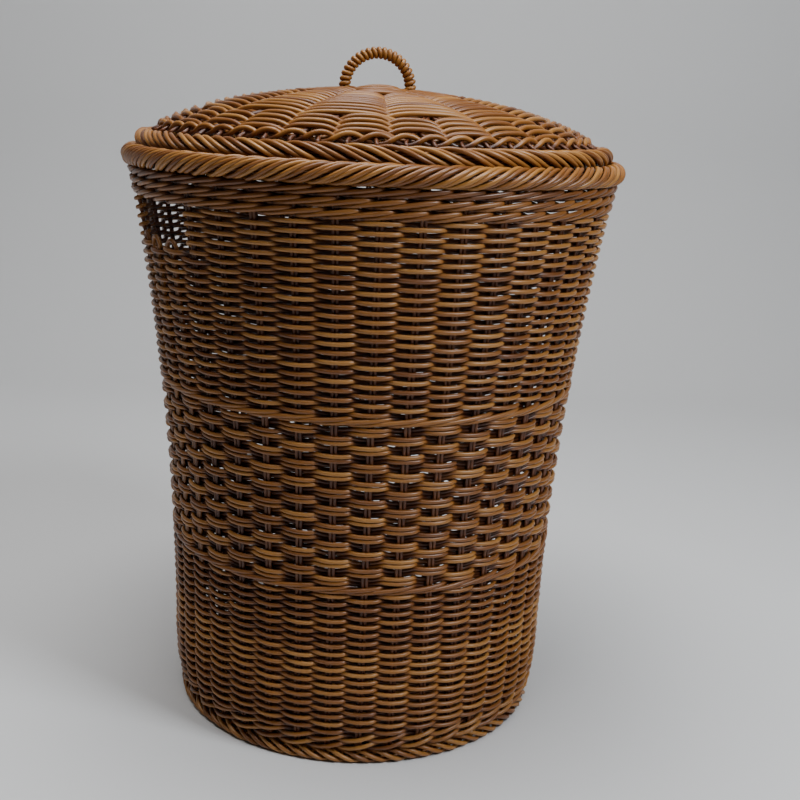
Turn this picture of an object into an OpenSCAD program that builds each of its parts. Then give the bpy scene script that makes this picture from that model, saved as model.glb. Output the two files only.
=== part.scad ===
// Round woven laundry hamper with a loose domed lid.
// The origin is on the floor at the centre of the foot, +Z is up, and the hand holes face +X and -X.
// Each woven band is drawn as the two skins of strand that pass outside and inside the stakes.

/* [Wall shape] */
// Radius of the middle of the wall at its narrowest height
waist_r = 170; // [145:1:210]
// Height of the narrowest part of the wall above the floor
waist_z = 60; // [45:1:75]
// Radius of the curve that draws the wall in below the waist
foot_curve = 220; // [180:5:320]
// Radius of the long curve that flares the wall out above the waist
flare = 2400; // [1900:50:4000]

/* [Strands and stakes] */
// Thickness of the strand that is woven round the stakes
strand_d = 3.5; // [3:0.1:4]
// Thickness of one upright stake
stake_d = 3; // [2.5:0.1:3.4]
// Number of stake pairs round the wall, a multiple of four
stake_pairs = 40; // [36:4:44]
// Clearance between a stake and the strands that hold it
fit = 0.1; // [0.05:0.01:0.2]

/* [Rows of weaving] */
// Height of one single row
row_h = 3.7; // [3.2:0.1:4.2]
// Height of one doubled row in the middle band
double_row_h = 7.6; // [6.8:0.1:8.6]
// Height of one round of waling
wale_h = 8; // [7:0.5:9]
// How far the middle of a wale's outer strands lies from the middle of the wall
wale_out = 2.1; // [1.8:0.1:2.5]
// Rounds of waling above the foot border
foot_rounds = 2; // [1:1:3]
// Single rows in the lower band
low_rows = 35; // [28:1:40]
// Doubled rows in the middle band
mid_rows = 18; // [14:1:21]
// Single rows in the upper band, up to the hand holes
high_rows = 31; // [24:1:36]
// Single rows beside the hand holes, which set how tall the holes are
hole_rows = 10; // [9:1:12]
// Rounds of waling under the rim
rim_rounds = 3; // [2:1:4]

/* [Hand holes] */
// Stake pairs cut off under each hand hole, an odd number
hole_pairs = 3; // [3:2:5]

/* [Borders] */
// Thickness of the border that the hamper stands on
foot_border_d = 12.6; // [11:0.1:14]
// How much the foot border is pressed flat where it meets the floor
foot_flat = 0.6; // [0.4:0.1:1]
// Thickness of the rolled rim
rim_d = 17.6; // [15:0.1:20]
// Thickness of the bundle of stake ends that the rim is rolled over
rim_core_d = 9; // [6:0.1:10]

/* [Base] */
// Height of the middle of the base above the floor
base_z = 20; // [19:0.5:22]
// Thickness of a base stick
base_stick_d = 3.5; // [3:0.1:4]
// Distance between neighbouring sticks where the two bundles cross
base_stick_pitch = 4.4; // [4.2:0.1:4.8]
// Radius at which the base weaving starts
base_weave_r = 46; // [44:1:60]
// Gap between the base and the waling round it
base_gap = 0.3; // [0.2:0.1:0.6]

/* [Lid] */
// How far the lid is turned on the rim, from the hand holes to its handle
lid_turn = -25; // [-90:5:90]
// Thickness of the lid's rolled border
lid_border_d = 16; // [14:0.1:18]
// Thickness of the bundle inside the lid's border
lid_core_d = 8; // [6:0.1:9]
// How far the lid's border sits inside the middle of the rim
lid_inset = 11.2; // [9:0.1:13]
// Gap between the lid's border and the rim that it rests on
lid_gap = 0.3; // [0.2:0.1:0.6]
// Rise from the middle of the lid's border to its crown, when its stakes reach as far as the next size
lid_rise = 45.3; // [40:0.1:50]
// Distance from the centre at which the lid's rise is measured; a wider lid rises more
lid_rise_r = 192.5; // [150:0.5:240]
// Radius of the flatter curve over the crown
crown_curve = 600; // [540:10:700]
// Distance from the centre at which the lid's steeper curve starts
shoulder_r = 120; // [105:1:130]
// Radius of the steeper curve near the lid's border
shoulder_curve = 263; // [240:1:320]
// Number of stake pairs in the lid
lid_pairs = 28; // [28:4:32]
// Thickness of a stick in the lid's crown
lid_stick_d = 3; // [2.8:0.1:3.2]
// Distance between neighbouring sticks where the crown's bundles cross
lid_stick_pitch = 4.5; // [4.4:0.1:4.7]
// Radius at which the lid's weaving starts
lid_weave_r = 36; // [36:1:44]
// Radius at which the lid's groups of four stakes are parted into pairs
lid_split_r = 152; // [140:1:160]
// Radius at which the lid's pairs are parted into single stakes
lid_single_r = 182; // [172:1:184]
// Width of the last weaving, round the single stakes
lid_edge_w = 5; // [3.5:0.1:6]

/* [Lid handle] */
// Radius of the arch, measured to the middle of its wrapped rod
handle_r = 28.5; // [27.5:0.5:30]
// Thickness of the bent rod inside the handle
handle_core_d = 3.2; // [2.8:0.1:3.2]
// Straight length of the wrapping below each end of the arch
handle_leg = 3.6; // [3.4:0.1:6]
// Length of the turned end that locks the rod under the crown
handle_hook = 12; // [8:1:16]

/* [Hidden] */
$fn = 96;

// Faces round a stake or stick, and the greatest height of one facet up a wall or along the dome
rod_fn = 16;
facet = 8;
// Furthest that a drawn arc may stray from the true one
sag = 0.03;
// Length that a cut runs past what it cuts
over = 1;
// How far a knuckle stands out from its rod
swell = 0.03;

// Half the space that the stakes run in, and half the whole thickness of a woven wall
slot = stake_d / 2 + fit;
half_wall = slot + strand_d;
pair_pitch = stake_d + fit;
stake_step = 360 / stake_pairs;
lid_step = 360 / lid_pairs;

// Heights of the bands, each standing on the one below
foot_top = foot_border_d - foot_flat;
low_z = foot_top + foot_rounds * wale_h;
low_wale_z = low_z + low_rows * row_h;
mid_z = low_wale_z + wale_h;
high_wale_z = mid_z + mid_rows * double_row_h;
high_z = high_wale_z + wale_h;
hole_z = high_z + high_rows * row_h;
rim_wale_z = hole_z + hole_rows * row_h;
rim_z = rim_wale_z + rim_rounds * wale_h;
stake_z = foot_top + stake_d / 6;

// Radius of the wall at height z, on a surface that lies o outside its middle
function wall_r(z, o = 0) = z < waist_z
    ? waist_r - foot_curve + sqrt(pow(foot_curve + o, 2) - pow(waist_z - z, 2))
    : waist_r + flare - sqrt(pow(flare - o, 2) - pow(z - waist_z, 2));

rim_mid_z = rim_z + rim_d / 2;
rim_r = wall_r(rim_mid_z);
foot_r = wall_r(foot_top / 2);
base_r = wall_r(foot_top + wale_h / 2) - wale_out - wale_h / 2 - base_gap;

// Centre of the lid's steeper curve, which is tangent to the flatter one
shoulder_a = asin(shoulder_r / crown_curve);
shoulder_x = shoulder_r - shoulder_curve * sin(shoulder_a);
shoulder_drop = crown_curve - (crown_curve - shoulder_curve) * cos(shoulder_a);

// How far the middle of the lid falls from the crown out to radius r
function lid_fall(r) = r < shoulder_r
    ? crown_curve - sqrt(pow(crown_curve, 2) - pow(r, 2))
    : shoulder_drop - sqrt(pow(shoulder_curve, 2) - pow(r - shoulder_x, 2));

// Where the lid's border nests against the rim and its stakes end, and the height of the crown
lid_r = rim_r - lid_inset;
lid_stake_end = lid_r - lid_border_d / 2 + 2 * stake_d / 3;
lid_reach = (rim_d + lid_border_d) / 2 + lid_gap;
lid_border_z = rim_mid_z + sqrt(pow(lid_reach, 2) - pow(lid_inset, 2));
crown_z = lid_border_z + lid_rise + lid_fall(lid_stake_end) - lid_fall(lid_rise_r);
shoulder_z = crown_z - shoulder_drop;
handle_z = crown_z + lid_stick_d / 2 + handle_leg;
handle_wrap_d = handle_core_d + 2 * (fit + strand_d);

// Height of the lid at radius r, on a surface that lies o outside its middle
function lid_z(r, o = 0) = r < shoulder_x + (shoulder_curve + o) * sin(shoulder_a)
    ? crown_z - crown_curve + sqrt(pow(crown_curve + o, 2) - pow(r, 2))
    : shoulder_z + sqrt(pow(shoulder_curve + o, 2) - pow(r - shoulder_x, 2));

// Facets on a full circle of radius r that stay within the allowed sag
function arc_fn(r) = 4 * ceil(PI / sqrt(2 * sag / r) / 4);

// Points up the wall from z0 to z1, o outside its middle
function wall_line(z0, z1, o) =
    let (n = max(1, ceil((z1 - z0) / facet)))
    [for (i = [0:n]) let (z = z0 + (z1 - z0) * i / n) [wall_r(z, o), z]];

// Points along the lid from r0 to r1, o outside its middle
function lid_line(r0, r1, o) =
    let (n = ceil((r1 - r0) / facet))
    [for (i = [0:n]) let (r = r0 + (r1 - r0) * i / n) [r, lid_z(r, o)]];

function reversed(list) = [for (i = [len(list) - 1:-1:0]) list[i]];

// Section of the wall between two surfaces
module wall_section(z0, z1, inner, outer) {
    polygon(concat(wall_line(z0, z1, inner), reversed(wall_line(z0, z1, outer))));
}

// Both skins of a woven band, one outside and one inside the stakes
module woven_band(z0, z1) {
    rotate_extrude() wall_section(z0, z1, slot, half_wall);
    rotate_extrude() wall_section(z0, z1, -half_wall, -slot);
}

// One round of waling: a rounded rope outside the stakes and one inside them
module wale_round(z0) {
    z1 = z0 + wale_h;
    zm = z0 + wale_h / 2;
    rotate_extrude() difference() {
        translate([wall_r(zm, wale_out), zm]) circle(d = wale_h);
        wall_section(z0 - over, z1 + over, -wale_h, slot);
    }
    rotate_extrude() difference() {
        translate([wall_r(zm, -wale_out), zm]) circle(d = wale_h);
        wall_section(z0 - over, z1 + over, -slot, wale_h);
    }
}

// The weaving between the two hand holes on one side, closed where it turns back at its ends
module hole_weave(a0) {
    turn = asin((pair_pitch / 2 + half_wall) / wall_r(hole_z));
    inner_turn = asin((pair_pitch / 2 + slot) / wall_r(hole_z));
    edge = stake_step * (hole_pairs + 1) / 2;
    span = 180 - 2 * edge;
    rotate([0, 0, a0 + edge]) difference() {
        rotate([0, 0, -turn]) rotate_extrude(angle = span + 2 * turn)
            wall_section(hole_z, rim_wale_z, -half_wall, half_wall);
        rotate([0, 0, -inner_turn]) rotate_extrude(angle = span + 2 * inner_turn)
            wall_section(hole_z - over, rim_wale_z + over, -slot, slot);
    }
}

// A rod of thickness d bent along an arc in the XZ plane, from angle a0 to a1
module bent_rod(x, z, r, a0, a1, d) {
    translate([x, 0, z]) rotate([90, 0, 0]) rotate([0, 0, a0])
        rotate_extrude(angle = a1 - a0, $fn = arc_fn(r)) translate([r, 0]) circle(d = d, $fn = rod_fn);
}

// A straight rod between two points
module rod(p, q, d) {
    v = q - p;
    translate(p) rotate([0, acos(v.z / norm(v)), atan2(v.y, v.x)]) cylinder(d = d, h = norm(v), $fn = rod_fn);
}

// A slight knuckle that joins two lengths of rod where they meet
module knuckle(p, d) {
    translate(p) sphere(d = d + 2 * swell, $fn = rod_fn);
}

// One stake that follows the wall from the foot border up to height z1
module stake(z1) {
    bent_rod(waist_r - foot_curve, waist_z, foot_curve,
             -asin((waist_z - stake_z) / foot_curve), 0, stake_d);
    bent_rod(waist_r + flare, waist_z, flare, 180 - asin((z1 - waist_z) / flare), 180, stake_d);
    knuckle([waist_r, 0, waist_z], stake_d);
}

// A pair of stakes side by side
module stake_pair(z1) {
    for (side = [-1, 1]) translate([0, side * pair_pitch / 2, 0]) stake(z1);
}

// Tells whether stake pair k stands under a hand hole
function is_cut(k) = let (m = k % (stake_pairs / 2)) min(m, stake_pairs / 2 - m) <= (hole_pairs - 1) / 2;

// A bundle of straight sticks along X at height z, cut to lie inside a circle of radius r
// and parted by an extra gap in its middle
module stick_bundle(count, pitch, z, r, d, parting = 0) {
    for (i = [0:count - 1]) {
        place = i - (count - 1) / 2;
        y = place * pitch + sign(place) * parting / 2;
        half = sqrt(pow(r, 2) - pow(abs(y) + d / 2, 2));
        rod([-half, y, z], [half, y, z], d);
    }
}

// The rolled border that the hamper stands on, pressed flat underneath
module foot_border() {
    color("sienna") rotate_extrude() difference() {
        translate([foot_r, foot_top - foot_border_d / 2]) circle(d = foot_border_d);
        translate([foot_r - foot_border_d, -foot_border_d]) square([2 * foot_border_d, foot_border_d]);
    }
}

module foot_wale() {
    color("peru") for (i = [0:foot_rounds - 1]) wale_round(foot_top + i * wale_h);
}

// Sticks in each of the two bundles that cross at the middle of the base
base_sticks = stake_pairs / 4;

module base_sticks_lower() {
    color("saddlebrown")
        stick_bundle(base_sticks, base_stick_pitch, base_z, base_weave_r - base_gap, base_stick_d);
}

module base_sticks_upper() {
    color("sienna") rotate([0, 0, 90]) stick_bundle(base_sticks, base_stick_pitch,
        base_z + base_stick_d + fit, base_weave_r - base_gap, base_stick_d);
}

// The spokes that spread from the crossing to the foot of each stake pair
module base_spokes() {
    color("saddlebrown") for (k = [0:stake_pairs - 1]) rotate([0, 0, k * stake_step])
        rod([base_weave_r, 0, base_z], [base_r - over, 0, base_z], base_stick_d);
}

// The woven base: one skin of strand under the sticks and one over them
module base_weave() {
    gap = base_stick_d / 2 + fit;
    color("peru") for (z = [base_z - gap - strand_d, base_z + gap]) translate([0, 0, z])
        rotate_extrude() translate([base_weave_r, 0]) square([base_r - base_weave_r, strand_d]);
}

// The stake pairs that run the whole height of the wall
module side_stakes() {
    color("saddlebrown") for (k = [0:stake_pairs - 1]) if (!is_cut(k))
        rotate([0, 0, k * stake_step]) stake_pair(rim_z);
}

// The stake pairs that stop at a hand hole, where one stake bends over into its neighbour
module cut_stakes() {
    tilt = asin((hole_z - waist_z) / flare);
    color("saddlebrown") for (k = [0:stake_pairs - 1]) if (is_cut(k)) rotate([0, 0, k * stake_step]) {
        stake_pair(hole_z);
        translate([wall_r(hole_z), 0, hole_z]) rotate([0, tilt, 0]) rotate([0, 0, 90]) rotate([90, 0, 0])
            rotate_extrude(angle = 180) translate([pair_pitch / 2, 0]) circle(d = stake_d, $fn = rod_fn);
        for (side = [-1, 1]) knuckle([wall_r(hole_z), side * pair_pitch / 2, hole_z], stake_d);
    }
}

module lower_weave() {
    color("peru") woven_band(low_z, low_wale_z);
}

module lower_wale() {
    color("chocolate") wale_round(low_wale_z);
}

module middle_weave() {
    color("peru") woven_band(mid_z, high_wale_z);
}

module upper_wale() {
    color("chocolate") wale_round(high_wale_z);
}

module upper_weave() {
    color("peru") woven_band(high_z, hole_z);
}

module front_hole_weave() {
    color("peru") hole_weave(180);
}

module back_hole_weave() {
    color("peru") hole_weave(0);
}

module rim_wale() {
    color("chocolate") for (i = [0:rim_rounds - 1]) wale_round(rim_wale_z + i * wale_h);
}

// The bundle of stake ends inside the rim
module rim_core() {
    color("saddlebrown") rotate_extrude() translate([rim_r, rim_mid_z]) circle(d = rim_core_d - 2 * fit);
}

module rim_border() {
    color("sienna") rotate_extrude() translate([rim_r, rim_mid_z]) difference() {
        circle(d = rim_d);
        circle(d = rim_core_d);
    }
}

// Sticks in the crown's two bundles: the handle's legs pass through the parting of the lower one
lid_sticks = floor(lid_pairs / 8) * 2;
lid_sticks_over = lid_pairs / 2 - lid_sticks;
lid_parting = handle_core_d + 2 * fit + lid_stick_d - lid_stick_pitch;

module lid_sticks_lower() {
    color("saddlebrown") rotate([0, 0, lid_turn])
        stick_bundle(lid_sticks, lid_stick_pitch, crown_z, lid_weave_r - lid_gap, lid_stick_d, lid_parting);
}

module lid_sticks_upper() {
    color("sienna") rotate([0, 0, lid_turn + 90]) stick_bundle(lid_sticks_over, lid_stick_pitch,
        crown_z + lid_stick_d + fit, lid_weave_r - lid_gap, lid_stick_d);
}

// One stake that follows the lid from the crown's edge to its border
module lid_stake() {
    bent_rod(0, crown_z - crown_curve, crown_curve,
             90 - shoulder_a, 90 - asin(lid_weave_r / crown_curve), stake_d);
    bent_rod(shoulder_x, shoulder_z, shoulder_curve,
             90 - asin((lid_stake_end - shoulder_x) / shoulder_curve), 90 - shoulder_a, stake_d);
    knuckle([shoulder_r, 0, lid_z(shoulder_r)], stake_d);
}

// Pairs of stakes that spread from the crown to the lid's border
module lid_stakes() {
    color("saddlebrown") for (k = [0:lid_pairs - 1]) rotate([0, 0, lid_turn + (k + 0.5) * lid_step])
        for (side = [-1, 1]) translate([0, side * pair_pitch / 2, 0]) lid_stake();
}

// Section of the lid from radius r0 to r1 between two surfaces
module lid_section(r0, r1, inner, outer) {
    polygon(concat(lid_line(r0, r1, inner), reversed(lid_line(r0, r1, outer))));
}

// Both skins of a woven ring of the lid, one over and one under the stakes
module lid_band(r0, r1) {
    rotate_extrude() lid_section(r0, r1, slot, half_wall);
    rotate_extrude() lid_section(r0, r1, -half_wall, -slot);
}

module lid_inner_weave() {
    color("peru") lid_band(lid_weave_r, lid_split_r);
}

module lid_outer_weave() {
    color("chocolate") lid_band(lid_split_r, lid_single_r);
}

module lid_edge_weave() {
    color("peru") lid_band(lid_single_r, lid_single_r + lid_edge_w);
}

// The bundle of stake ends inside the lid's border
module lid_border_core() {
    color("saddlebrown") rotate_extrude() translate([lid_r, lid_border_z]) circle(d = lid_core_d - 2 * fit);
}

module lid_border() {
    color("sienna") rotate_extrude() translate([lid_r, lid_border_z]) difference() {
        circle(d = lid_border_d);
        circle(d = lid_core_d);
    }
}

// The bent rod of the handle: its legs pass down through the crown and hook under the sticks
module handle_core() {
    hook_z = crown_z - (lid_stick_d + handle_core_d) / 2 - fit - lid_gap;
    color("saddlebrown") rotate([0, 0, lid_turn]) {
        bent_rod(0, handle_z, handle_r, 0, 180, handle_core_d);
        for (side = [-1, 1]) {
            rod([side * handle_r, 0, handle_z], [side * handle_r, 0, hook_z], handle_core_d);
            rod([side * handle_r, 0, hook_z], [side * handle_r, side * handle_hook, hook_z], handle_core_d);
            for (z = [handle_z, hook_z]) knuckle([side * handle_r, 0, z], handle_core_d);
        }
    }
}

// The strand wound round the handle's rod from one foot to the other
module handle_wrap() {
    color("peru") rotate([0, 0, lid_turn]) difference() {
        union() {
            bent_rod(0, handle_z, handle_r, 0, 180, handle_wrap_d);
            for (side = [-1, 1]) translate([side * handle_r, 0, handle_z - handle_leg + lid_gap])
                cylinder(d = handle_wrap_d, h = handle_leg - lid_gap, $fn = rod_fn);
        }
        bent_rod(0, handle_z, handle_r, 0, 180, handle_core_d + 2 * fit);
        for (side = [-1, 1]) translate([side * handle_r, 0, handle_z - handle_leg - over])
            cylinder(d = handle_core_d + 2 * fit, h = handle_leg + over, $fn = rod_fn);
    }
}

foot_border();
foot_wale();
base_sticks_lower();
base_sticks_upper();
base_spokes();
base_weave();
side_stakes();
cut_stakes();
lower_weave();
lower_wale();
middle_weave();
upper_wale();
upper_weave();
front_hole_weave();
back_hole_weave();
rim_wale();
rim_core();
rim_border();
lid_sticks_lower();
lid_sticks_upper();
lid_stakes();
lid_inner_weave();
lid_outer_weave();
lid_edge_weave();
lid_border_core();
lid_border();
handle_core();
handle_wrap();
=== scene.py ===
import math

import bpy
import numpy as np
from mathutils import Matrix


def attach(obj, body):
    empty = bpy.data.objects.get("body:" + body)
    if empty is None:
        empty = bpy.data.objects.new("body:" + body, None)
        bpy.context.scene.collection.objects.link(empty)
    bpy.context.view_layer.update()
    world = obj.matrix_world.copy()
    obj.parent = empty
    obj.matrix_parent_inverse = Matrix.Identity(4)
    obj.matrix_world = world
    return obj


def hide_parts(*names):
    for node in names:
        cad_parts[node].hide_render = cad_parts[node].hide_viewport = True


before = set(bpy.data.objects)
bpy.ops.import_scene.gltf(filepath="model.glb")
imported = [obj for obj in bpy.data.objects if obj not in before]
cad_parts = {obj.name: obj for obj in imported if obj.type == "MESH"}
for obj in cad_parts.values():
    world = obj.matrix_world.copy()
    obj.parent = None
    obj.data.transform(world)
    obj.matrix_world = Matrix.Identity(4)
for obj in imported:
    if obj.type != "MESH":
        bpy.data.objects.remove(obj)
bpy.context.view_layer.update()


# The camera stands a metre off at the height of the rim, on a tripod that leans a little.
# It looks down at the hamper, with one hand hole at the left and the handle's arch across the view.
camera_distance = 1.016
camera_height = 0.541
camera_side = math.radians(-28.5)
aim_aside = math.radians(1.80)
aim_down = math.radians(14.53)
tripod_lean = math.radians(2.6)
ahead = np.array([math.sin(aim_aside) * math.cos(aim_down), math.cos(aim_aside) * math.cos(aim_down),
                  -math.sin(aim_down)])
level = np.array([math.cos(aim_aside), -math.sin(aim_aside), 0])
upright = np.cross(level, ahead)
right_of_view = level * math.cos(tripod_lean) + upright * math.sin(tripod_lean)
top_of_view = upright * math.cos(tripod_lean) - level * math.sin(tripod_lean)
camera_axes = Matrix(np.array([right_of_view, top_of_view, -ahead]).T.tolist()).to_4x4()
camera_lens = bpy.data.cameras.new("camera")
camera_lens.sensor_width = 36
camera_lens.lens = 50.6
camera = bpy.data.objects.new("camera", camera_lens)
bpy.context.scene.collection.objects.link(camera)
camera.matrix_world = (Matrix.Rotation(camera_side, 4, "Z")
                       @ Matrix.Translation((0, -camera_distance, camera_height)) @ camera_axes)
bpy.context.scene.camera = camera


# The base: two bundles of stiff resin sticks laid across each other, whose ends are fanned out
# into forty spokes, bound with rings of round strand that pass over and under the spokes.
strand_thick = 0.0036
stick_thick = 0.0035
base_height = 0.020
base_radius = 0.1590
rod_spacing = 0.0044
rod_lift = 0.0036
bundle_half = 0.034
fan_end = 0.075
spoke_turn = math.radians(9)
chance = np.random.default_rng(7)


def resin(name, colours, gloss=0.38):
    """Extruded resin strand: a colour of its own for each length, with painted shade where it passes
    inside, and fine lines drawn along it.
    """
    finish = bpy.data.materials.new(name)
    finish.use_nodes = True
    nodes, join = finish.node_tree.nodes, finish.node_tree.links.new
    shader = nodes["Principled BSDF"]
    shader.inputs["Specular IOR Level"].default_value = 0.5
    shader.inputs["Coat Weight"].default_value = 0.10
    shader.inputs["Coat Roughness"].default_value = 0.22
    grain = nodes.new("ShaderNodeAttribute")
    grain.attribute_name = "grain"
    tone_and_shade = nodes.new("ShaderNodeAttribute")
    tone_and_shade.attribute_name = "tone_and_shade"

    def noise_along(stretch, detail):
        lay = nodes.new("ShaderNodeMapping")
        lay.inputs["Scale"].default_value = stretch
        join(grain.outputs["Vector"], lay.inputs["Vector"])
        noise = nodes.new("ShaderNodeTexNoise")
        noise.inputs["Scale"].default_value = 1
        noise.inputs["Detail"].default_value = detail
        join(lay.outputs["Vector"], noise.inputs["Vector"])
        return noise.outputs["Fac"]

    def blend(kind, amount, one, other):
        mix = nodes.new("ShaderNodeMix")
        mix.data_type = "RGBA"
        mix.blend_type = kind
        for socket, value in ((mix.inputs[0], amount), (mix.inputs[6], one), (mix.inputs[7], other)):
            if isinstance(value, bpy.types.NodeSocket):
                join(value, socket)
            else:
                socket.default_value = value
        return mix.outputs[2]

    def spread(value, low, high, to_low, to_high):
        span = nodes.new("ShaderNodeMapRange")
        for socket, number in zip(span.inputs[1:5], (low, high, to_low, to_high)):
            socket.default_value = number
        join(value, span.inputs[0])
        return span.outputs[0]

    streaks = noise_along((55, 2600, 2600), 4)
    patches = noise_along((16, 60, 60), 2)
    shade = nodes.new("ShaderNodeMath")
    shade.operation = "ADD"
    shade.use_clamp = True
    join(tone_and_shade.outputs["Fac"], shade.inputs[0])
    join(spread(patches, 0.3, 0.7, -0.20, 0.20), shade.inputs[1])
    ramp = nodes.new("ShaderNodeValToRGB")
    for place in (0.35, 0.65):
        ramp.color_ramp.elements.new(place)
    for stop, colour in zip(ramp.color_ramp.elements, colours):
        stop.color = (*colour, 1)
    join(shade.outputs[0], ramp.inputs[0])
    dark_streaks = spread(streaks, 0.35, 0.68, 0.30, 0.0)
    dark_line = (0.42, 0.30, 0.22, 1)
    join(blend("MULTIPLY", dark_streaks, ramp.outputs[0], dark_line), shader.inputs["Base Color"])
    join(spread(streaks, 0.3, 0.7, gloss + 0.09, gloss - 0.05), shader.inputs["Roughness"])
    bump = nodes.new("ShaderNodeBump")
    bump.inputs["Strength"].default_value = 0.28
    bump.inputs["Distance"].default_value = 0.00025
    join(streaks, bump.inputs["Height"])
    join(bump.outputs["Normal"], shader.inputs["Normal"])
    return finish


# The first caramel tone is reached mostly through the painted shade of strands that pass inside; the others
# are the strand's own tones.
caramel_tones = (0.070, 0.017, 0.003), (0.185, 0.060, 0.008), (0.290, 0.110, 0.017), (0.395, 0.176, 0.036)
chestnut_tones = (0.040, 0.009, 0.002), (0.080, 0.020, 0.004), (0.120, 0.033, 0.007), (0.160, 0.050, 0.011)
caramel = resin("caramel_strand", caramel_tones)
chestnut = resin("chestnut_stake", chestnut_tones, gloss=0.46)


def ease(value, low, high):
    """0 below low, 1 above high, and a smooth step between them."""
    share = np.clip((value - low) / (high - low), 0, 1)
    return share * share * (3 - 2 * share)


def lay_strands(name, lines, thick, finish, up=(0, 0, 1), closed=False, sides=8, folds=1, floor=None):
    """One piece of round strands along the given lines, an array of strand x point x 3. A fourth
    number is 1 where a strand lies in the open and -1 where it passes inside, where its colour is darkened
    as painted shade.
    folds is how many strips a strand is cut in where the piece is laid out flat."""
    lines = np.asarray(lines, float)
    # Painted shade: where a strand passes inside, its colour is darkened as if shaded by the rows in front
    # of it.
    painted_shade = ease(-lines[..., 3], -0.35, 0.60) if lines.shape[2] == 4 else 0 * lines[..., 0]
    lines = lines[..., :3]
    count, points = lines.shape[:2]
    if closed:
        way, runs = np.roll(lines, -1, 1) - np.roll(lines, 1, 1), points
    else:
        way, runs = np.gradient(lines, axis=1), points - 1
    way = way / np.linalg.norm(way, axis=2, keepdims=True)
    across = np.cross(way, np.broadcast_to(np.asarray(up, float), lines.shape))
    across /= np.linalg.norm(across, axis=2, keepdims=True)
    over = np.cross(across, way)
    angle = np.arange(sides + 1) * math.tau / sides
    ring = (np.cos(angle[:-1, None]) * across[:, :, None] + np.sin(angle[:-1, None]) * over[:, :, None])
    corners = lines[:, :, None] + ring * thick / 2
    if floor is not None:
        corners[..., 2] = np.maximum(corners[..., 2], floor)
    strand, run, side = np.meshgrid(np.arange(count), np.arange(runs), np.arange(sides), indexing="ij")
    here = (strand * points + run) * sides
    there = (strand * points + (run + 1) % points) * sides
    beside = (side + 1) % sides
    quads = np.stack([here + side, there + side, there + beside, here + beside], -1).reshape(-1)
    run_ends = np.stack([run, run + 1, run + 1, run], -1)
    side_ends = np.stack([side, side, side + 1, side + 1], -1)
    whole_way = np.concatenate([lines, lines[:, :1]], 1) if closed else lines
    reach = np.cumsum(np.linalg.norm(np.diff(whole_way, axis=1), axis=2), 1)
    reach = np.concatenate([np.zeros((count, 1)), reach], 1) + chance.random((count, 1)) * 9
    along = reach[strand[..., None], run_ends]
    grain = np.stack([along, np.cos(angle)[side_ends] * thick / 2,
                      np.sin(angle)[side_ends] * thick / 2], -1)
    length = math.ceil(runs / folds)
    strip = strand * folds + run // length
    strips = count * folds + (0 if closed else 1)
    flat = np.stack([((run % length)[..., None] + run_ends - run[..., None]) / length,
                     (strip[..., None] + 0.06 + 0.88 * side_ends / sides) / strips], -1)
    grain, flat, starts = grain.reshape(-1, 3), flat.reshape(-1, 2), np.arange(quads.size // 4) * 4
    if not closed:
        tip = np.arange(count)[:, None] * points * sides
        caps = np.stack([tip + np.arange(sides), tip + (points - 1) * sides + np.arange(sides)[::-1]], 1)
        cap_angle = np.stack([angle[:-1], angle[:-1][::-1]])[None]
        cap_grain = np.stack([np.broadcast_to(reach[:, [0, -1], None], caps.shape),
                              np.broadcast_to(np.cos(cap_angle) * thick / 2, caps.shape),
                              np.broadcast_to(np.sin(cap_angle) * thick / 2, caps.shape)], -1)
        slot = (np.arange(count * 2).reshape(count, 2, 1) + 0.5 + 0.4 * np.cos(cap_angle)) / (count * 2)
        cap_flat = np.stack([slot, np.broadcast_to((strips - 0.5 + 0.4 * np.sin(cap_angle)) / strips,
                                                   caps.shape)], -1)
        starts = np.concatenate([starts, quads.size + np.arange(count * 2) * sides])
        quads = np.concatenate([quads, caps.reshape(-1)])
        grain = np.concatenate([grain, cap_grain.reshape(-1, 3)])
        flat = np.concatenate([flat, cap_flat.reshape(-1, 2)])
    mesh = bpy.data.meshes.new(name)
    mesh.vertices.add(corners.size // 3)
    mesh.vertices.foreach_set("co", corners.astype(np.float32).ravel())
    mesh.loops.add(quads.size)
    mesh.loops.foreach_set("vertex_index", quads.astype(np.int32))
    mesh.polygons.add(starts.size)
    mesh.polygons.foreach_set("loop_start", starts.astype(np.int32))
    mesh.uv_layers.new(name="OFBake").data.foreach_set("uv", flat.astype(np.float32).ravel())
    mesh.attributes.new("grain", "FLOAT_VECTOR", "CORNER").data.foreach_set(
        "vector", grain.astype(np.float32).ravel())
    # Each strand's own random tone, lowered by the painted shade where it passes inside.
    tones_and_shade = np.repeat(0.35 + 0.65 * chance.random((count, 1)) - 0.75 * painted_shade, sides, axis=1)
    mesh.attributes.new("tone_and_shade", "FLOAT", "POINT").data.foreach_set(
        "value", tones_and_shade.astype(np.float32).ravel())
    mesh.update(calc_edges=True)
    mesh.shade_smooth()
    mesh.materials.append(finish)
    piece = bpy.data.objects.new(name, mesh)
    bpy.context.scene.collection.objects.link(piece)
    return piece


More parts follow.
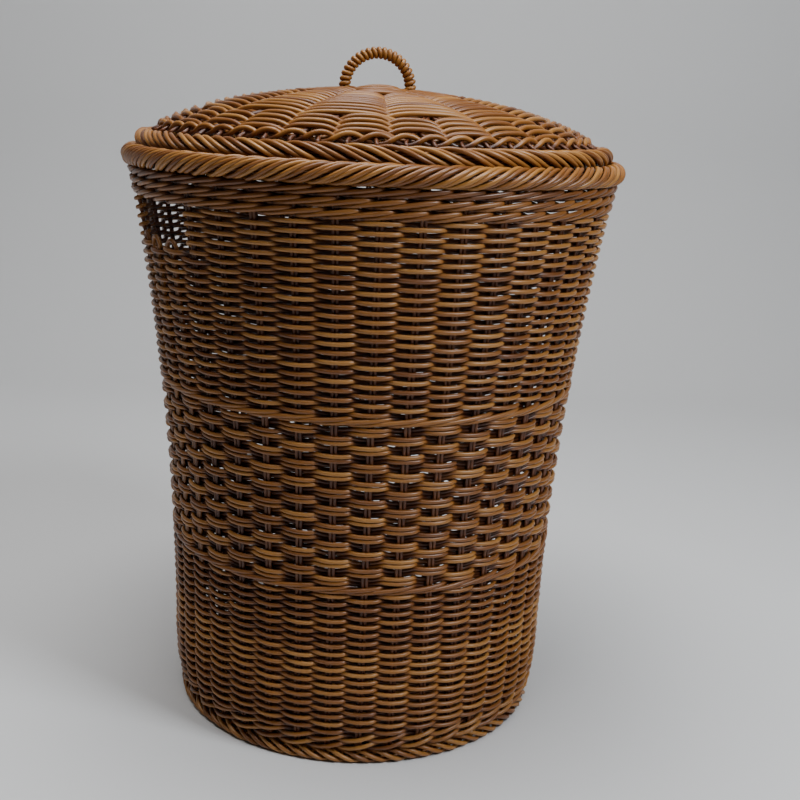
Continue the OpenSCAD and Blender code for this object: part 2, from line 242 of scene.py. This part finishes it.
def base_rods(quarter, raised):
    """Ten rods that cross the middle side by side and fan out to their spokes at both ends."""
    lines = []
    for i in range(10):
        reach = np.linspace(-base_radius, base_radius, 72)
        bundle = (i - 4.5) * rod_spacing
        end = np.where(reach < 0, 4 - i, i - 5) * spoke_turn
        fan = ease(np.abs(reach), bundle_half, fan_end)
        distance = np.maximum(np.abs(reach), 1e-6)
        straight = np.arctan2(bundle, distance) * np.sign(reach)
        turn = straight * (1 - fan) + end * fan
        in_bundle = np.abs(reach) < bundle_half
        flat_x = np.where(in_bundle, reach, reach * np.cos(turn))
        flat_y = np.where(in_bundle, bundle, distance * np.sin(turn) * np.sign(reach))
        height = base_height + raised * (1 - ease(np.abs(reach), 0.030, 0.056))
        lines.append(np.stack([flat_x * math.cos(quarter) - flat_y * math.sin(quarter),
                               flat_x * math.sin(quarter) + flat_y * math.cos(quarter), height], -1))
    return np.array(lines)


lower_rods = lay_strands("base_lower_rods", base_rods(0, 0), stick_thick, chestnut)
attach(lower_rods, "hamper")
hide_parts("base_sticks_lower", "base_spokes")
upper_rods = lay_strands("base_upper_rods", base_rods(math.pi / 2, rod_lift), stick_thick, chestnut)
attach(upper_rods, "hamper")
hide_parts("base_sticks_upper")


def in_and_out(units):
    """How far a strand lies out, from 1 over the even stakes to -1 behind the odd ones.
    It is bowed over the stakes, comes out gently and goes in again at a sharper bend."""
    rise, dive = 4.0, 8.0
    phase = np.mod(units + 0.5, 2) - 0.5
    going_in = np.tanh(dive * (0.5 - phase)) / math.tanh(dive / 2)
    coming_out = np.tanh(rise * np.where(phase < 0, phase + 0.5, phase - 1.5)) / math.tanh(rise / 2)
    bent = np.where((phase >= 0) & (phase <= 1), going_in, coming_out)
    return 0.68 * bent + 0.32 * np.cos(math.pi * units)


def crossings(spans, first=0.0):
    """Places along a row, closer together where the strand crosses between two stakes."""
    steps = np.array([-0.50, -0.435, -0.36, -0.25, 0.0, 0.25, 0.36, 0.435])
    return first + (np.arange(spans)[:, None] + steps).ravel()


ring_out = 0.0035
ring_split = 0.092
base_rows = np.arange(0.0480, 0.1570, 0.00372)


def ring_rows(radii, groups, offset):
    """Closed rings of strand that pass over and under the groups of base spokes."""
    points = groups * 12
    turn = np.arange(points) * math.tau / points
    lines = []
    for row, radius in enumerate(radii):
        units = turn * groups / math.tau - offset
        height = base_height + ring_out * in_and_out(units + row)
        lines.append(np.stack([radius * np.cos(turn), radius * np.sin(turn), height], -1))
    return np.array(lines)


inner_rings = lay_strands("base_inner_rings", ring_rows(base_rows[base_rows < ring_split], 20, 0.25),
                          strand_thick, caramel, closed=True, folds=2)
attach(inner_rings, "hamper")
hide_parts("base_weave")
outer_rings = lay_strands("base_outer_rings", ring_rows(base_rows[base_rows >= ring_split], 40, 0),
                          strand_thick, caramel, closed=True, folds=3)
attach(outer_rings, "hamper")


# The upright stakes: forty pairs of slightly thinner resin rod that rise from the foot, follow
# the flare of the wall and end in the rim. Three pairs at each hand hole stop short of it.
waist_radius = 0.170
waist_height = 0.060
foot_curve = 0.220
flare_curve = 2.400
stake_thick = 0.0030
stake_beside = 0.00155
stake_foot = 0.0125
stake_top = 0.4875


def wall_radius(height, out=0.0):
    """Radius of the wall at a height, on a surface that lies so far outside its middle."""
    below = waist_radius - foot_curve + np.sqrt((foot_curve + out) ** 2
                                                - np.minimum(height - waist_height, 0) ** 2)
    above = waist_radius + flare_curve - np.sqrt((flare_curve - out) ** 2
                                                 - np.maximum(height - waist_height, 0) ** 2)
    return np.where(height < waist_height, below, above)


def on_wall(turn, height, out=0.0, beside=0.0):
    """Points on the wall at an angle and height, moved outwards and sideways."""
    radius = wall_radius(height, out)
    return np.stack([radius * np.cos(turn) - beside * np.sin(turn),
                     radius * np.sin(turn) + beside * np.cos(turn), height + 0 * radius], -1)


def is_cut(pair):
    """Tells whether a stake pair stands under a hand hole."""
    return min(pair % 20, 20 - pair % 20) <= 1


climb = np.linspace(stake_foot, stake_top, 64)
long_stakes = [on_wall(pair * spoke_turn + 0 * climb, climb, 0, side * stake_beside)
               for pair in range(40) if not is_cut(pair) for side in (-1, 1)]
facing = np.array([[math.cos(pair * spoke_turn), math.sin(pair * spoke_turn), 0]
                   for pair in range(40) if not is_cut(pair) for side in (-1, 1)])
side_stakes = lay_strands("side_stake_pairs", long_stakes, stake_thick, chestnut,
                          up=facing[:, None, :])
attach(side_stakes, "hamper")
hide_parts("side_stakes")

# The cut stakes: at each hand hole three pairs end in an open loop, one stake of the pair bent
# over into its neighbour so that no sharp end meets the fingers.
loop_half_width = 0.0072
loop_half_height = 0.0056
loop_height = 0.4264
loop_neck = 0.006
loop_out = 0.0004


def looped_pair(pair):
    """Up one stake of the pair, round the open loop and down the other stake."""
    rise = np.linspace(stake_foot, loop_height - loop_neck, 44)
    bend = np.linspace(-0.30 * math.pi, 1.30 * math.pi, 25)
    beside = np.concatenate([0 * rise + stake_beside, loop_half_width * np.cos(bend),
                             0 * rise - stake_beside])
    height = np.concatenate([rise, loop_height + loop_half_height * np.sin(bend), rise[::-1]])
    return on_wall(pair * spoke_turn + 0 * height, height, loop_out, beside)


cut_pairs = [pair for pair in range(40) if is_cut(pair)]
cut_facing = np.array([[math.cos(pair * spoke_turn), math.sin(pair * spoke_turn), 0]
                       for pair in cut_pairs])
cut_loops = lay_strands("cut_stake_loops", [looped_pair(pair) for pair in cut_pairs],
                        stake_thick + 0.0003, caramel, up=cut_facing[:, None, :], sides=10)
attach(cut_loops, "hamper")
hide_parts("cut_stakes")


# The foot: two rounds of pairing, in which two strands cross between each pair of stakes, lock
# the stakes in place where they turn up from the base.
strand_out = 0.0032
foot_levels = (0.0160, 0.0240)
foot_rise = 0.0031
wale_tuck = 0.0008


def pairing(middle, units, strands, rise, place, tuck=0.0, first=0.0):
    """One twisted round, in which each strand runs outside strands - 1 stakes and inside the next.
    place(turn, height, out) gives the point, and rise is how far a strand climbs from the middle."""
    per_unit, sharp, uneven = 12, 3.1, 0.00012
    paths = math.gcd(units, strands)
    travel = np.arange(units * strands // paths * per_unit) / per_unit
    soften = np.hanning(9)[1:-1] / np.hanning(9)[1:-1].sum()
    lines = []
    for path in range(paths):
        step = np.mod(travel - path + 0.5, strands) - 0.5
        lift = np.where(step < strands - 1, 2 * step / (strands - 1) - 1, 1 - 2 * (step - strands + 1))
        lift = np.where(step < 0, -1 - 2 * step, lift)
        lift = sum(share * np.roll(lift, shift - 3) for shift, share in enumerate(soften))
        out = np.tanh(sharp * step) * np.tanh(sharp * (strands - 1 - step))
        most = np.tanh(sharp * (strands - 1) / 2) ** 2
        bow = np.sin(math.pi * np.clip(step / (strands - 1), 0, 1))
        out = np.where(out > 0, 0.7 * out / most + 0.3 * bow, out / np.tanh(sharp / 2)) * strand_out
        out = out + tuck * np.clip(step - (strands - 1) / 2, -1, 1) * (out > 0)
        wander = chance.normal(0, uneven, travel.size)
        wander = sum(share * np.roll(wander, shift - 3) for shift, share in enumerate(soften))
        turn = (travel + first) * math.tau / units
        points = place(turn, middle + rise * lift + wander, out)
        # The fourth column sets the painted shade where a strand passes inside.
        lines.append(np.column_stack([points, out / strand_out]))
    return lines


foot_rounds = [line for middle in foot_levels
               for line in pairing(middle, 40, 2, foot_rise, on_wall, tuck=wale_tuck, first=0.5)]
foot_wale = lay_strands("foot_pairing", foot_rounds, strand_thick + 0.0001, caramel, closed=True,
                        sides=10, folds=4)
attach(foot_wale, "hamper")
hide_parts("foot_wale")

# The foot border: the stake ends are turned down in eighty strands, which lie slantwise over
# each other as a flat rope and are pressed flat by the hamper's weight.
foot_rope_radius = float(wall_radius(np.array(0.006)))
foot_rope_height = 0.0057
foot_rope_coil = 0.0044


def rope(radius, height, coil, count, slope, hand, start, pairs=0.0, wander=0.0):
    """Strands laid slantwise round a ring, each of which makes one turn round the ring's section.
    pairs brings them together two by two, and hand is the way in which they slant."""
    uneven, step_in_pair = 0.00018, 0.00025
    advance = coil * math.tau / math.tan(slope) / radius
    along = np.linspace(0, 1, 26)
    section = start - math.tau * along
    lines = []
    for i in range(count):
        of_pair = 1 if i % 2 else -1
        shift = pairs * of_pair + wander * chance.normal()
        puff = coil + uneven * chance.normal() + step_in_pair * of_pair * (pairs > 0)
        turn = (i + shift) * math.tau / count - hand * advance * (along - 0.5)
        reach = radius + puff * np.cos(section)
        lines.append(np.stack([reach * np.cos(turn), reach * np.sin(turn),
                               height + puff * np.sin(section)], -1))
    return np.array(lines)


foot_lines = rope(foot_rope_radius, foot_rope_height, foot_rope_coil, 80, math.radians(27), -1,
                  math.radians(190), wander=0.06)
foot_border = lay_strands("foot_border_rope", foot_lines, strand_thick + 0.0001, caramel, sides=10,
                          floor=0.0)
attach(foot_border, "hamper")
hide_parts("foot_border")


# The lower band: thirty-five single rows of strand, each outside one pair of stakes and inside
# the next, beaten down until the rows touch where they cross between the pairs.
row_pitch = 0.0037
low_start = 0.0280
low_rows = 35
low_drop = (0.0010, 0.0028, 0.0030)
cross_rise = 0.0005
row_thick = strand_thick + 0.0001


def wave_of_rows(turn, height):
    """The slight unevenness that whole rows share, as the wall was beaten down by hand."""
    return 0.00055 * np.sin(3 * turn + 40 * height) + 0.00035 * np.sin(7 * turn - 65 * height + 1.3)


def plain_rows(first_height, rows, pitch, drop, strands=1, first_row=0):
    """Closed rows of plain weaving round the forty pairs; strands > 1 makes a doubled row.
    Inside the stakes the strands lie lower, by drop in the first row, three quarters up and near
    the last, and where they cross between the stakes they ride up a little."""
    units = crossings(40)
    turn = units * spoke_turn
    lines = []
    for row in range(rows):
        middle = first_height + (row + 0.5) * pitch
        inside_drop = np.interp(row / rows, (0, 0.72, 0.90), drop)
        for strand in range(strands):
            lift = (strand - (strands - 1) / 2) * row_thick
            swell = 1 + 0.05 * np.interp(units, np.arange(40), chance.normal(0, 1, 40), period=40)
            shift = 0.025 * np.interp(units, np.arange(40), chance.normal(0, 1, 40), period=40)
            nod = 0.00010 * np.interp(units, np.arange(40), chance.normal(0, 1, 40), period=40)
            weave = in_and_out(units + shift + row + first_row)
            height = (middle + lift + nod + inside_drop * np.minimum(weave, 0)
                      + cross_rise * (1 - weave ** 2))
            height += wave_of_rows(turn, middle)
            # The weave value also sets the painted shade where the strand passes inside.
            lines.append(np.column_stack([on_wall(turn, height, strand_out * swell * weave), weave]))
    return lines


lower_weave = lay_strands("lower_weave_rows", plain_rows(low_start, low_rows, row_pitch, low_drop),
                          strand_thick, caramel, closed=True, folds=3)
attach(lower_weave, "hamper")
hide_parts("lower_weave")

# The lower wale: one round of three strands, each in front of two pairs and behind the third,
# which divides the lower band from the middle one.
wale_height = 0.008
wale_rise = 0.0030
lower_wale_middle = 0.1575 + wale_height / 2
lower_wale = lay_strands("lower_wale_strands",
                         pairing(lower_wale_middle, 40, 3, wale_rise, on_wall, tuck=wale_tuck, first=0.5),
                         strand_thick + 0.0001, caramel, closed=True, sides=10, folds=9)
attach(lower_wale, "hamper")
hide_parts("lower_wale")

# The middle band: eighteen rows of two strands laid side by side. The double rows stand apart,
# so that the pairs of stakes show between them.
middle_start = 0.1655
double_rows = 18
double_pitch = 0.0076
middle_drop = (0.0029, 0.0023, 0.0020)
middle_weave = lay_strands("middle_weave_rows",
                           plain_rows(middle_start, double_rows, double_pitch, middle_drop, strands=2),
                           row_thick, caramel, closed=True, folds=3)
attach(middle_weave, "hamper")
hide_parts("middle_weave")

# The upper wale: a second round of three strands, like the lower one.
upper_wale_middle = 0.3023 + wale_height / 2
upper_wale = lay_strands("upper_wale_strands",
                         pairing(upper_wale_middle, 40, 3, wale_rise, on_wall, tuck=wale_tuck, first=0.5),
                         strand_thick + 0.0001, caramel, closed=True, sides=10, folds=9)
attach(upper_wale, "hamper")
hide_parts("upper_wale")

# The upper band: thirty-one single rows, woven as the lower ones, up to the sills of the holes.
upper_start = 0.3103
upper_rows = 31
upper_drop = (0.0019, 0.0012, 0.0010)
upper_weave = lay_strands("upper_weave_rows",
                          plain_rows(upper_start, upper_rows, row_pitch, upper_drop, first_row=1),
                          row_thick, caramel, closed=True, folds=3)
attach(upper_weave, "hamper")
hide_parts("upper_weave")


# The panels between the hand holes: on each side one strand is woven to and fro ten times and
# turned back round the last pair of stakes, which makes the smooth cheeks of the holes.
hole_sill = 0.425
panel_rows = 10
panel_drop = 0.0008
cheek_reach = 0.0050


def turned_back_rows(first_pair, last_pair):
    """One strand woven to and fro between two pairs of stakes, with a bend round each."""
    points = []
    for row in range(panel_rows):
        middle = hole_sill + (row + 0.5) * row_pitch
        units = crossings(last_pair - first_pair + 1, first_pair)
        units = units[(units >= first_pair) & (units <= last_pair)]
        onward = row % 2 == 0
        if not onward:
            units = units[::-1]
        out = strand_out * in_and_out(units + row)
        turn = units * spoke_turn
        height = middle + wave_of_rows(turn, middle) + panel_drop * np.minimum(out / strand_out, 0)
        # The fourth column sets the painted shade where the strand passes inside.
        points.append(np.column_stack([on_wall(turn, height, out), out / strand_out]))
        if row < panel_rows - 1:
            bend = np.linspace(0, math.pi, 9)[1:-1]
            swing = out[-1] * np.cos(bend)
            beside = cheek_reach * np.sin(bend) * (1 if onward else -1)
            climbing = (middle + row_pitch * bend / math.pi
                        + panel_drop * np.minimum(swing / strand_out, 0))
            turn = units[-1] * spoke_turn + 0 * bend
            cheek = on_wall(turn, climbing + wave_of_rows(turn, climbing), swing, beside)
            points.append(np.column_stack([cheek, 0.4 + 0 * bend]))
    return np.concatenate(points)


front_panel = lay_strands("front_panel_strand", [turned_back_rows(22, 38)], strand_thick, caramel, folds=26)
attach(front_panel, "hamper")
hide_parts("front_hole_weave")
back_panel = lay_strands("back_panel_strand", [turned_back_rows(2, 18)], strand_thick, caramel, folds=26)
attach(back_panel, "hamper")
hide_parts("back_hole_weave")


# The rim wales: three rounds of three strands close the hand holes and stiffen the top edge.
# Their strokes are shorter than the spacing of the stakes, fifty-two to a round.
rim_wale_start = 0.4620
rim_strokes = 52
rim_wale_rise = 0.0033
rim_wale_tuck = 0.0014
rim_rounds = []
for i in range(3):
    rim_rounds += pairing(rim_wale_start + (i + 0.5) * wale_height, rim_strokes, 3, rim_wale_rise,
                          on_wall, tuck=rim_wale_tuck, first=0.5 + 0.33 * i)
rim_wale = lay_strands("rim_wale_strands", rim_rounds, strand_thick + 0.0002, caramel, closed=True,
                       sides=10, folds=10)
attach(rim_wale, "hamper")
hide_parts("rim_wale")

# The rim: the stake ends are bent down into a bundle that runs round the top, and a hundred and
# sixty strands are rolled over it slantwise, two by two, into a thick rope.
rim_height = 0.4948
rim_radius = float(wall_radius(np.array(rim_height)))
rim_coil = 0.0069
rim_rod = 0.0029


def bundle(radius, height, spacing, waver):
    """Seven rods that run round a ring side by side, one in the middle and six about it."""
    turn = np.arange(240) * math.tau / 240
    lines = []
    for rod in range(7):
        lay = rod * math.pi / 3 + waver * turn
        away = spacing if rod < 6 else 0.0
        reach = radius + away * np.cos(lay)
        lines.append(np.stack([reach * np.cos(turn), reach * np.sin(turn),
                               height + away * np.sin(lay)], -1))
    return lines


rim_core = lay_strands("rim_core_bundle", bundle(rim_radius, rim_height, rim_rod, 6), rim_rod, chestnut,
                       closed=True, sides=6)
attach(rim_core, "hamper")
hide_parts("rim_core")
rim_lines = rope(rim_radius, rim_height, rim_coil, 160, math.radians(28), 1, math.radians(215),
                 pairs=0.12, wander=0.04)
rim_border = lay_strands("rim_border_rope", rim_lines, strand_thick - 0.0002, caramel, sides=10)
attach(rim_border, "hamper")
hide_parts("rim_border")


# The lid's skeleton: a cross of resin sticks at the crown and fifty-six thin stakes that spread
# from it, first as seven eights, then as fours and as pairs, and singly into the border.
crown_height = 0.55303
crown_curve = 0.600
shoulder_radius = 0.120
shoulder_curve = 0.263
lid_turn = math.radians(-25)
shoulder_angle = math.asin(shoulder_radius / crown_curve)
shoulder_centre = shoulder_radius - shoulder_curve * math.sin(shoulder_angle)
shoulder_height = crown_height - crown_curve + (crown_curve - shoulder_curve) * math.cos(shoulder_angle)
lid_ring = rim_radius - 0.0112
lid_ring_height = 0.50772
lid_stake_thick = 0.0030
lid_stake_spacing = 0.0031
crown_reach = 0.0357
crown_spacing = 0.0045


def lid_height(radius, out=0.0):
    """Height of the lid at a radius, on a surface that lies so far above its middle."""
    crown = crown_height - crown_curve + np.sqrt((crown_curve + out) ** 2 - radius ** 2)
    edge = shoulder_height + np.sqrt((shoulder_curve + out) ** 2
                                     - np.maximum(radius - shoulder_centre, 0) ** 2)
    return np.where(radius < shoulder_radius, crown, edge)


def on_lid(turn, radius, out=0.0):
    """Points on the lid at an angle and radius, moved up."""
    return np.stack([radius * np.cos(turn), radius * np.sin(turn), lid_height(radius, out) + 0 * turn], -1)


def crown_sticks(count, quarter, parting, raised):
    """Sticks side by side, cut to a round outline, parted in the middle and drooping at the ends."""
    lines = []
    for i in range(count):
        place = i - (count - 1) / 2
        beside = place * crown_spacing + math.copysign(parting / 2, place)
        half = math.sqrt(crown_reach ** 2 - (abs(beside) + lid_stake_thick / 2) ** 2) + 0.004
        reach = np.linspace(-half, half, 24)
        droop = 0.004 * (np.abs(reach) / 0.036) ** 3 + 0.35 * raised * (beside / 0.0175) ** 2
        turn = lid_turn + quarter
        lines.append(np.stack([reach * math.cos(turn) - beside * math.sin(turn),
                               reach * math.sin(turn) + beside * math.cos(turn),
                               crown_height + raised - droop], -1))
    return np.array(lines)


crown_lower = lay_strands("crown_lower_sticks", crown_sticks(6, 0, 0.0019, 0), lid_stake_thick, chestnut)
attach(crown_lower, "lid")
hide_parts("lid_sticks_lower")
crown_upper = lay_strands("crown_upper_sticks", crown_sticks(8, math.pi / 2, 0, lid_stake_spacing),
                          lid_stake_thick + 0.0008, caramel)
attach(crown_upper, "lid")
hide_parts("lid_sticks_upper")


def lid_stake_line(j):
    """One stake: its place in its eight, its four and its pair, and at last on its own."""
    radius = np.linspace(0.031, lid_ring - 0.0060, 56)
    single = (j + 0.5) * math.tau / 56
    pair = (j // 2 + 0.5) * math.tau / 28
    four = (j + 2) // 4
    eight = four // 2
    bands = (
        ((eight * 2 + 0.5) * math.tau / 14, ((j + 2) % 8 - 3.5) * lid_stake_spacing),
        (four * math.tau / 14, ((j + 2) % 4 - 1.5) * lid_stake_spacing),
        (pair, (j % 2 - 0.5) * lid_stake_spacing),
        (single, 0.0),
    )
    turn = bands[0][0] + bands[0][1] / radius
    for (angle, beside), low, high in zip(bands[1:], (0.066, 0.142, 0.172), (0.088, 0.168, 0.188)):
        part = ease(radius, low, high)
        turn = turn * (1 - part) + (angle + beside / radius) * part
    return on_lid(lid_turn + turn, radius)


lid_stakes = lay_strands("lid_stake_rods", [lid_stake_line(j) for j in range(56)], lid_stake_thick,
                         chestnut)
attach(lid_stakes, "lid")
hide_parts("lid_stakes")


# The lid's weaving: the strand binds the crown's cross, then winds outwards over seven eights,
# fourteen fours and twenty-eight pairs of stakes as the dome spreads and falls to its edge.
lid_strand = 0.0040
lid_out = 0.0033
lid_pitch = 0.0037


def next_row(radius):
    """The radius one row further out, measured along the slope of the lid."""
    fall = float(lid_height(np.array(radius)) - lid_height(np.array(radius + 0.001))) / 0.001
    opened = 1 + 0.16 * float(ease(radius, 0.105, 0.150))
    return radius + lid_pitch * opened / math.sqrt(1 + fall * fall)


def lid_rows(first, last, groups, offset, per_group):
    """Closed rows from one radius to another, over and under so many groups of stakes."""
    turn = np.arange(groups * per_group) * math.tau / (groups * per_group)
    place, group = np.arange(turn.size) / per_group, np.arange(groups + 1)
    units = turn * groups / math.tau - offset
    lines, radius, row = [], first, 0
    while radius < last:
        swell = 1 + 0.06 * np.interp(place, group, chance.normal(0, 1, groups + 1))
        shake = 0.00018 * np.interp(place, group, chance.normal(0, 1, groups + 1))
        out = lid_out * swell * np.tanh(1.6 * np.cos(math.pi * (units + row))) / math.tanh(1.6)
        lines.append(on_lid(lid_turn + turn, radius + shake, out))
        radius, row = next_row(radius), row + 1
    return lines


def crown_binding():
    """Four rounds over and under the four arms of the crown's cross."""
    turn = np.arange(96) * math.tau / 96
    lines = []
    for row, radius in enumerate((0.0250, 0.0288, 0.0325, 0.0362)):
        arm = 0.00155 * (1 - np.cos(2 * turn)) * (1 - row / 4)
        weave = in_and_out(turn * 2 / math.pi + row)
        height = crown_height - radius ** 2 / (2 * crown_curve) + arm + lid_out * weave
        lines.append(np.stack([radius * np.cos(turn + lid_turn), radius * np.sin(turn + lid_turn),
                               height], -1))
    return lines


def eights_spiral():
    """One strand that winds out over the seven eights; the odd count sets each round off the last."""
    rounds = 9
    sweep = np.linspace(0, rounds * math.tau, rounds * 7 * 14)
    radius = 0.0398 + lid_pitch * sweep / math.tau
    units = sweep * 7 / math.tau - 0.25
    out = lid_out * np.tanh(1.7 * np.cos(math.pi * units)) / math.tanh(1.7)
    return on_lid(lid_turn + sweep, radius, out)


crown_bind = lay_strands("crown_binding", crown_binding(), lid_strand, caramel, closed=True)
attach(crown_bind, "lid")
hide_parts("lid_inner_weave")
lid_eights = lay_strands("lid_eights_strand", [eights_spiral()], lid_strand, caramel, folds=12)
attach(lid_eights, "lid")
lid_fours = lay_strands("lid_fours_rows", lid_rows(0.0745, 0.1525, 14, 0, 18), lid_strand, caramel,
                        closed=True, folds=3)
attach(lid_fours, "lid")
lid_pairs = lay_strands("lid_pairs_rows", lid_rows(0.1560, 0.1815, 28, 0.5, 12), lid_strand, caramel,
                        closed=True, folds=4)
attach(lid_pairs, "lid")
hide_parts("lid_outer_weave")

# The lid's last round: two strands twisted round the single stakes, which are left bare between
# it and the border.
edge_radius = 0.1848
edge_rise = 0.0013


def on_lid_edge(turn, lift, out):
    """Points on the lid near its last round; lift moves them up its slope, towards the crown."""
    return on_lid(lid_turn + turn, edge_radius - lift, out)


lid_edge = lay_strands("lid_edge_pairing", pairing(0.0, 56, 2, edge_rise, on_lid_edge), lid_strand, caramel,
                       closed=True, sides=10, folds=5)
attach(lid_edge, "lid")
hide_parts("lid_edge_weave")

# The lid's border: a hundred and twelve strands rolled over the ends of the stakes, slanting the
# other way from the rim below it.
lid_coil = 0.0062
lid_rod = 0.0026
lid_core = lay_strands("lid_core_bundle", bundle(lid_ring, lid_ring_height, lid_rod, 5), lid_rod, chestnut,
                       closed=True, sides=6)
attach(lid_core, "lid")
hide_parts("lid_border_core")
lid_border_lines = rope(lid_ring, lid_ring_height, lid_coil, 112, math.radians(25), -1,
                        math.radians(215), pairs=0.10, wander=0.07)
lid_border = lay_strands("lid_border_rope", lid_border_lines, strand_thick + 0.0001, caramel, sides=10)
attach(lid_border, "lid")
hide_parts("lid_border")


# The handle: a stiff rod bent into an arch, pushed down through the crown and hooked under its
# sticks, with one strand wound round it from foot to foot.
handle_radius = 0.0285
handle_height = crown_height + 0.0015 + 0.0036
handle_rod = 0.0032
wraps = 22
wrap_out = 0.00345
hook_depth = crown_height - 0.0015 - 0.0016 - 0.0004


def handle_path(share):
    """Points along the wrapped part of the handle and the direction across it, from 0 to 1."""
    leg = 0.0033
    whole = math.pi * handle_radius + 2 * leg
    travel = share * whole
    bend = np.clip((travel - leg) / handle_radius, 0, math.pi)
    below = np.maximum(leg - travel, 0) + np.maximum(travel - whole + leg, 0)
    across = handle_radius * np.cos(bend)
    rise = handle_height + handle_radius * np.sin(bend) - below
    away = np.stack([np.cos(bend), 0 * bend, np.sin(bend)], -1)
    return np.stack([across, 0 * bend, rise], -1), away


def turned_with_lid(points):
    """The same points, turned as the crown is."""
    points = np.asarray(points, float)
    return np.stack([points[..., 0] * math.cos(lid_turn) - points[..., 1] * math.sin(lid_turn),
                     points[..., 0] * math.sin(lid_turn) + points[..., 1] * math.cos(lid_turn),
                     points[..., 2]], -1)


arch, _ = handle_path(np.linspace(0, 1, 49))
drop_steps = np.linspace(0.85, 0, 6)[:, None]
foot_right = np.array([handle_radius, 0, hook_depth])
foot_left = foot_right * (-1, 1, 1)
hook = np.stack([0 * np.arange(5), np.linspace(0.012, 0.0015, 5), 0 * np.arange(5)], -1)
hook_right = foot_right + hook
hook_left = foot_left - hook[::-1]
rod_points = np.concatenate([hook_right, foot_right + (arch[0] - foot_right) * (1 - drop_steps), arch[1:-1],
                             foot_left + (arch[-1] - foot_left) * drop_steps, hook_left])
handle_core = lay_strands("handle_rod", [turned_with_lid(rod_points)], handle_rod, chestnut,
                          up=(0.31, 0.93, 0.2), sides=10)
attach(handle_core, "lid")
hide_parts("handle_core")

wind_share = np.linspace(0, 1, wraps * 14)
wind_centre, wind_away = handle_path(wind_share)
wind = wind_share * wraps * math.tau
wind_points = wind_centre + wrap_out * (np.cos(wind)[:, None] * wind_away
                                        + np.sin(wind)[:, None] * np.array([0, 1, 0]))
handle_wrap = lay_strands("handle_winding", [turned_with_lid(wind_points)], strand_thick + 0.0002, caramel,
                          up=turned_with_lid(wind_points - wind_centre)[None], sides=10, folds=10)
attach(handle_wrap, "lid")
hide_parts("handle_wrap")


# The studio: a pale paper floor that curves up behind into a backdrop, a soft lamp at the right,
# a wide one overhead, a very weak one at the left and a dim warm room around them.
bend_start = 1.1
bend_radius = 0.5
backdrop_height = 2.6
sweep_profile = [(-7.0, 0.0), (bend_start, 0.0)]
for i in range(1, 13):
    bend = i / 12 * math.pi / 2
    sweep_profile.append((bend_start + bend_radius * math.sin(bend),
                          bend_radius - bend_radius * math.cos(bend)))
sweep_profile.append((bend_start + bend_radius, backdrop_height))
studio_mesh = bpy.data.meshes.new("studio_floor")
studio_corners = [(x, back, rise) for x in (-5.0, 5.0) for back, rise in sweep_profile]
last = len(sweep_profile)
studio_mesh.from_pydata(studio_corners, [], [(i, i + last, i + last + 1, i + 1) for i in range(last - 1)])
studio_mesh.shade_smooth()
studio_floor = bpy.data.objects.new("studio_floor", studio_mesh)
studio_floor.rotation_euler.z = camera_side
bpy.context.scene.collection.objects.link(studio_floor)
pale = bpy.data.materials.new("pale_paper")
pale.use_nodes = True
paper = pale.node_tree.nodes["Principled BSDF"]
paper.inputs["Roughness"].default_value = 0.85
paper_noise = pale.node_tree.nodes.new("ShaderNodeTexNoise")
paper_noise.inputs["Scale"].default_value = 3
paper_tint = pale.node_tree.nodes.new("ShaderNodeMix")
paper_tint.data_type = "RGBA"
paper_tint.inputs[6].default_value = (0.60, 0.60, 0.60, 1)
paper_tint.inputs[7].default_value = (0.66, 0.655, 0.65, 1)
pale.node_tree.links.new(paper_noise.outputs["Fac"], paper_tint.inputs[0])
pale.node_tree.links.new(paper_tint.outputs[2], paper.inputs["Base Color"])
studio_mesh.materials.append(pale)


def lamp(name, bearing, elevation, distance, width, height, watts, colour):
    """An area lamp that points at the middle of the hamper; the bearing is from the camera."""
    light = bpy.data.lights.new(name, "AREA")
    light.shape = "RECTANGLE"
    light.size, light.size_y = width, height
    light.energy = watts
    light.color = colour
    holder = bpy.data.objects.new(name, light)
    side = camera_side - math.pi / 2 + math.radians(bearing)
    tilt = math.radians(elevation)
    place = Matrix.Translation((0, 0, 0.32))
    turn = Matrix.Rotation(side, 4, "Z") @ Matrix.Rotation(math.pi / 2 - tilt, 4, "Y")
    away = Matrix.Translation((0, 0, distance)) @ Matrix.Rotation(math.pi / 2, 4, "Z")
    holder.matrix_world = place @ turn @ away
    bpy.context.scene.collection.objects.link(holder)


lamp("window", 52, 42, 1.9, 0.5, 0.6, 28, (0.90, 0.95, 1.0))
lamp("ceiling", -50, 83, 1.9, 1.2, 1.2, 46, (0.98, 0.99, 1.0))
lamp("left_fill", -75, 25, 2.2, 1.2, 1.2, 0.2, (1.0, 0.92, 0.82))
world = bpy.data.worlds.new("room")
bpy.context.scene.world = world
world.use_nodes = True
world.node_tree.nodes["Background"].inputs["Color"].default_value = (1.0, 0.91, 0.82, 1)
world.node_tree.nodes["Background"].inputs["Strength"].default_value = 0.04
